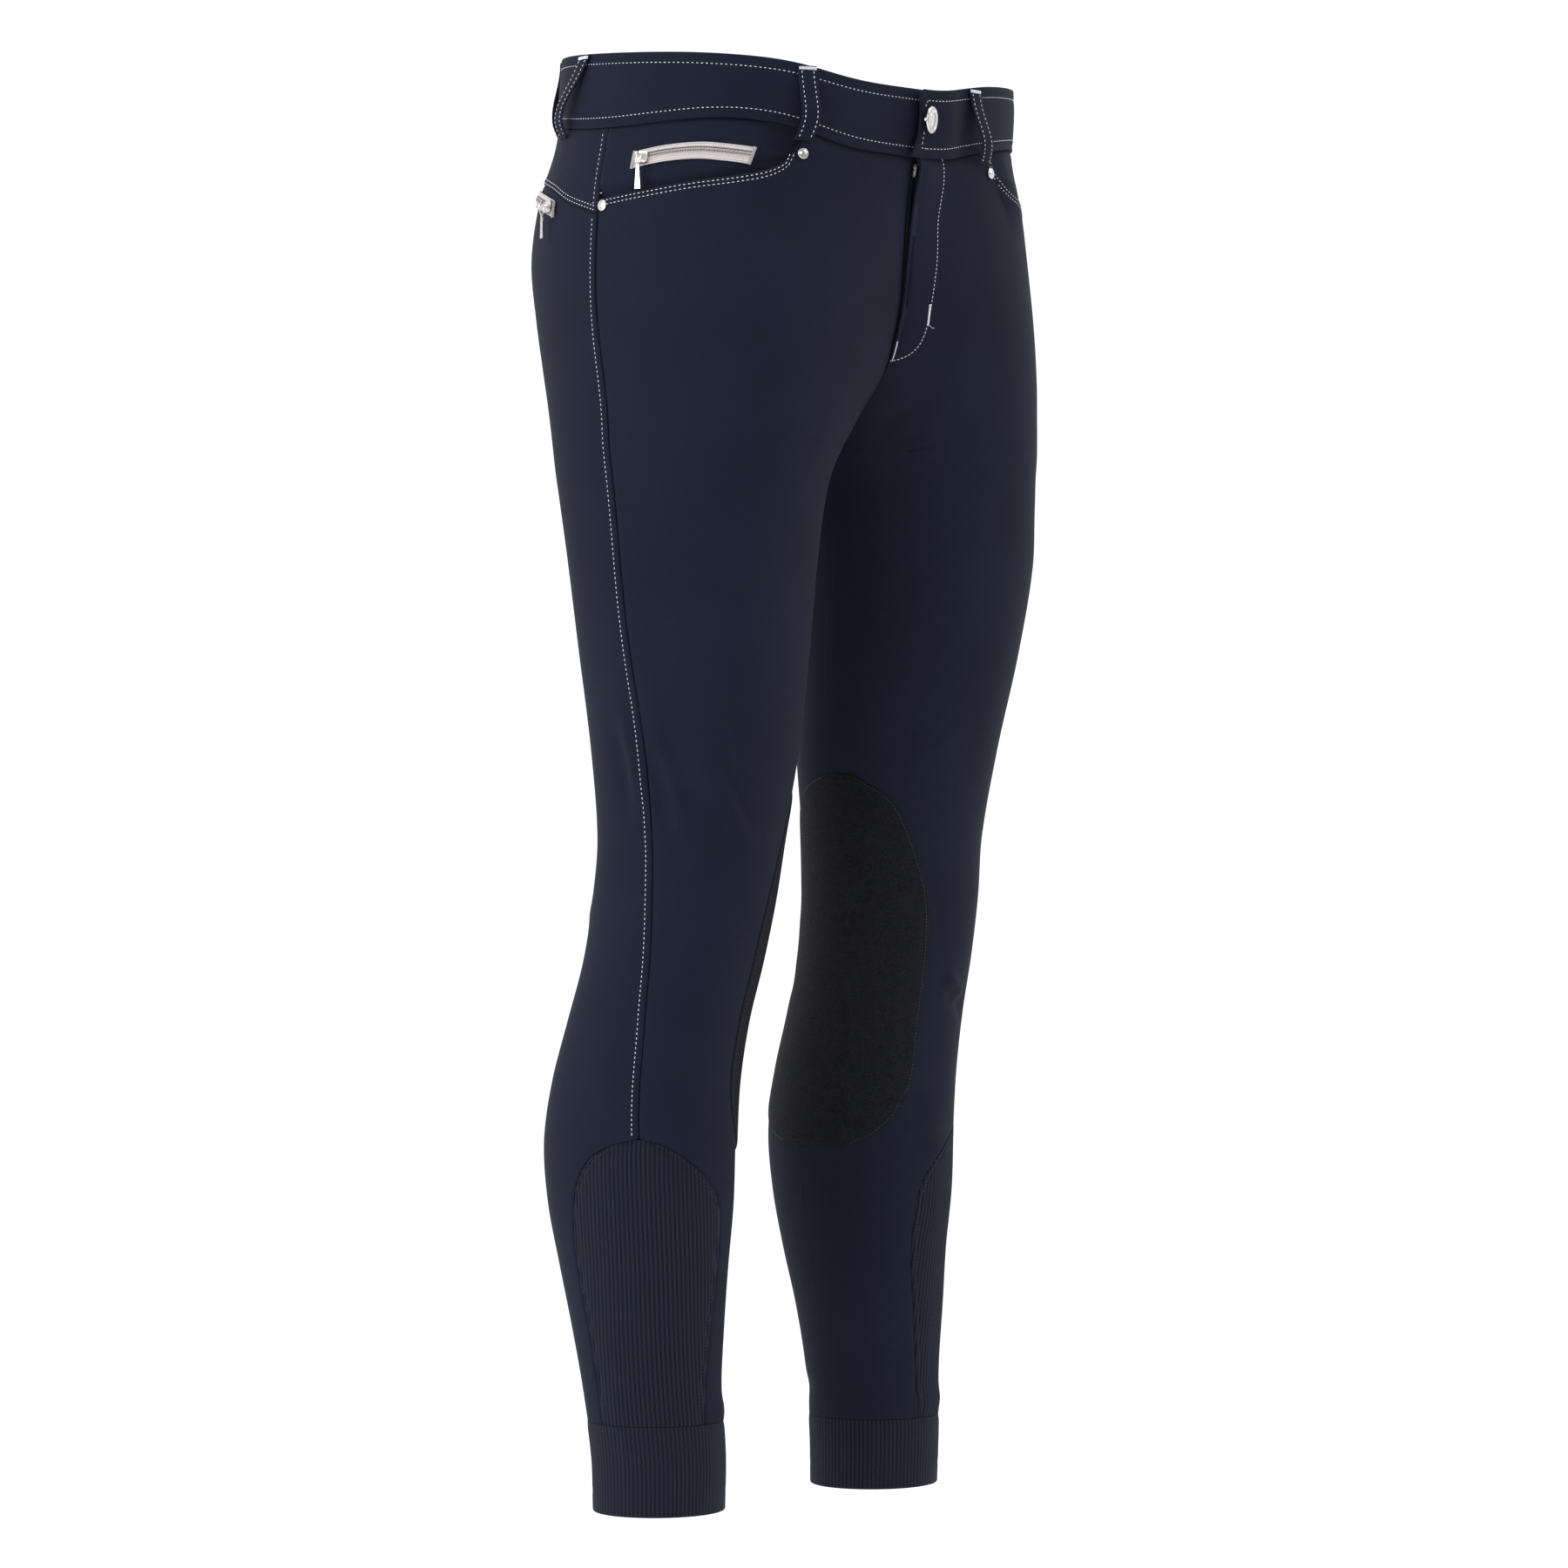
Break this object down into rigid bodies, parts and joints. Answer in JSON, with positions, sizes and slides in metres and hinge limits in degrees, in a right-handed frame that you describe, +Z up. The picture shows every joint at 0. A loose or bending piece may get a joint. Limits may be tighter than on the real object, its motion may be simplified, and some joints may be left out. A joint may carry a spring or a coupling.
{
  "type": "riding breeches",
  "caption": "Stretch riding breeches as worn, with waistband, belt loops, slant pockets, zipped pockets, grip patches at the inner knees, elastic calf inserts and cuffs.",
  "frame": {"origin": "middle of the waist opening, in the plane of the waistband's top edge", "axes": "+X to the wearer's left, -Y to the front, +Z up along the height"},
  "size_m": [0.3664, 0.2724, 0.9555],
  "materials": {
    "breeches_cloth": "smooth stretch twill, matt with a slight sheen",
    "ribbed_elastic": "fine ribbed elastic knit",
    "grip_patch": "matt cloth with a fine crackled grip print",
    "zip_tape": "woven tape",
    "zip_metal": "bright nickel",
    "rivet_metal": "bright nickel",
    "fly_tape": "black woven tape",
    "fly_metal": "nickel"
  },
  "bodies": {
    "root": {"front_right": "breeches_cloth", "back_right": "breeches_cloth", "yoke_right": "breeches_cloth", "pocket_facing_right": "breeches_cloth", "waistband_right": "breeches_cloth", "cuff_right": "ribbed_elastic", "calf_insert_right": "ribbed_elastic", "knee_patch_right": "grip_patch", "coin_zip_tape_right": "zip_tape", "coin_zip_slider_right": "zip_metal", "back_zip_tape_right": "zip_tape", "back_zip_slider_right": "zip_metal", "rivet_front_right": "rivet_metal", "rivet_side_right": "rivet_metal", "belt_loop_front_right": "breeches_cloth", "belt_loop_side_right": "breeches_cloth", "belt_loop_back_right": "breeches_cloth", "front_left": "breeches_cloth", "back_left": "breeches_cloth", "yoke_left": "breeches_cloth", "pocket_facing_left": "breeches_cloth", "waistband_left": "breeches_cloth", "cuff_left": "ribbed_elastic", "calf_insert_left": "ribbed_elastic", "knee_patch_left": "grip_patch", "back_zip_tape_left": "zip_tape", "back_zip_slider_left": "zip_metal", "rivet_front_left": "rivet_metal", "rivet_side_left": "rivet_metal", "belt_loop_front_left": "breeches_cloth", "belt_loop_side_left": "breeches_cloth", "belt_loop_back_left": "breeches_cloth", "shank_button": "rivet_metal", "fly_zip_tape": "fly_tape", "fly_zip_slider": "fly_metal"},
    "coin_pull_right": {"coin_zip_pull_right": "zip_metal"},
    "back_pull_right": {"back_zip_pull_right": "zip_metal"},
    "back_pull_left": {"back_zip_pull_left": "zip_metal"}
  },
  "joints": [
    {"name": "coin_pull_right_swing", "type": "hinge", "parent": "root", "child": "coin_pull_right", "pos_m": [-0.17306, -0.0343, -0.06907], "axis": [-0.3147, 0.9492, 0], "range_deg": [-8, 140]},
    {"name": "back_pull_right_swing", "type": "hinge", "parent": "root", "child": "back_pull_right", "pos_m": [-0.17296, 0.05621, -0.09423], "axis": [0.3464, 0.9381, 0], "range_deg": [-8, 140]},
    {"name": "back_pull_left_swing", "type": "hinge", "parent": "root", "child": "back_pull_left", "pos_m": [0.17296, 0.05621, -0.09423], "axis": [0.3464, -0.9381, 0], "range_deg": [-8, 140]}
  ]
}
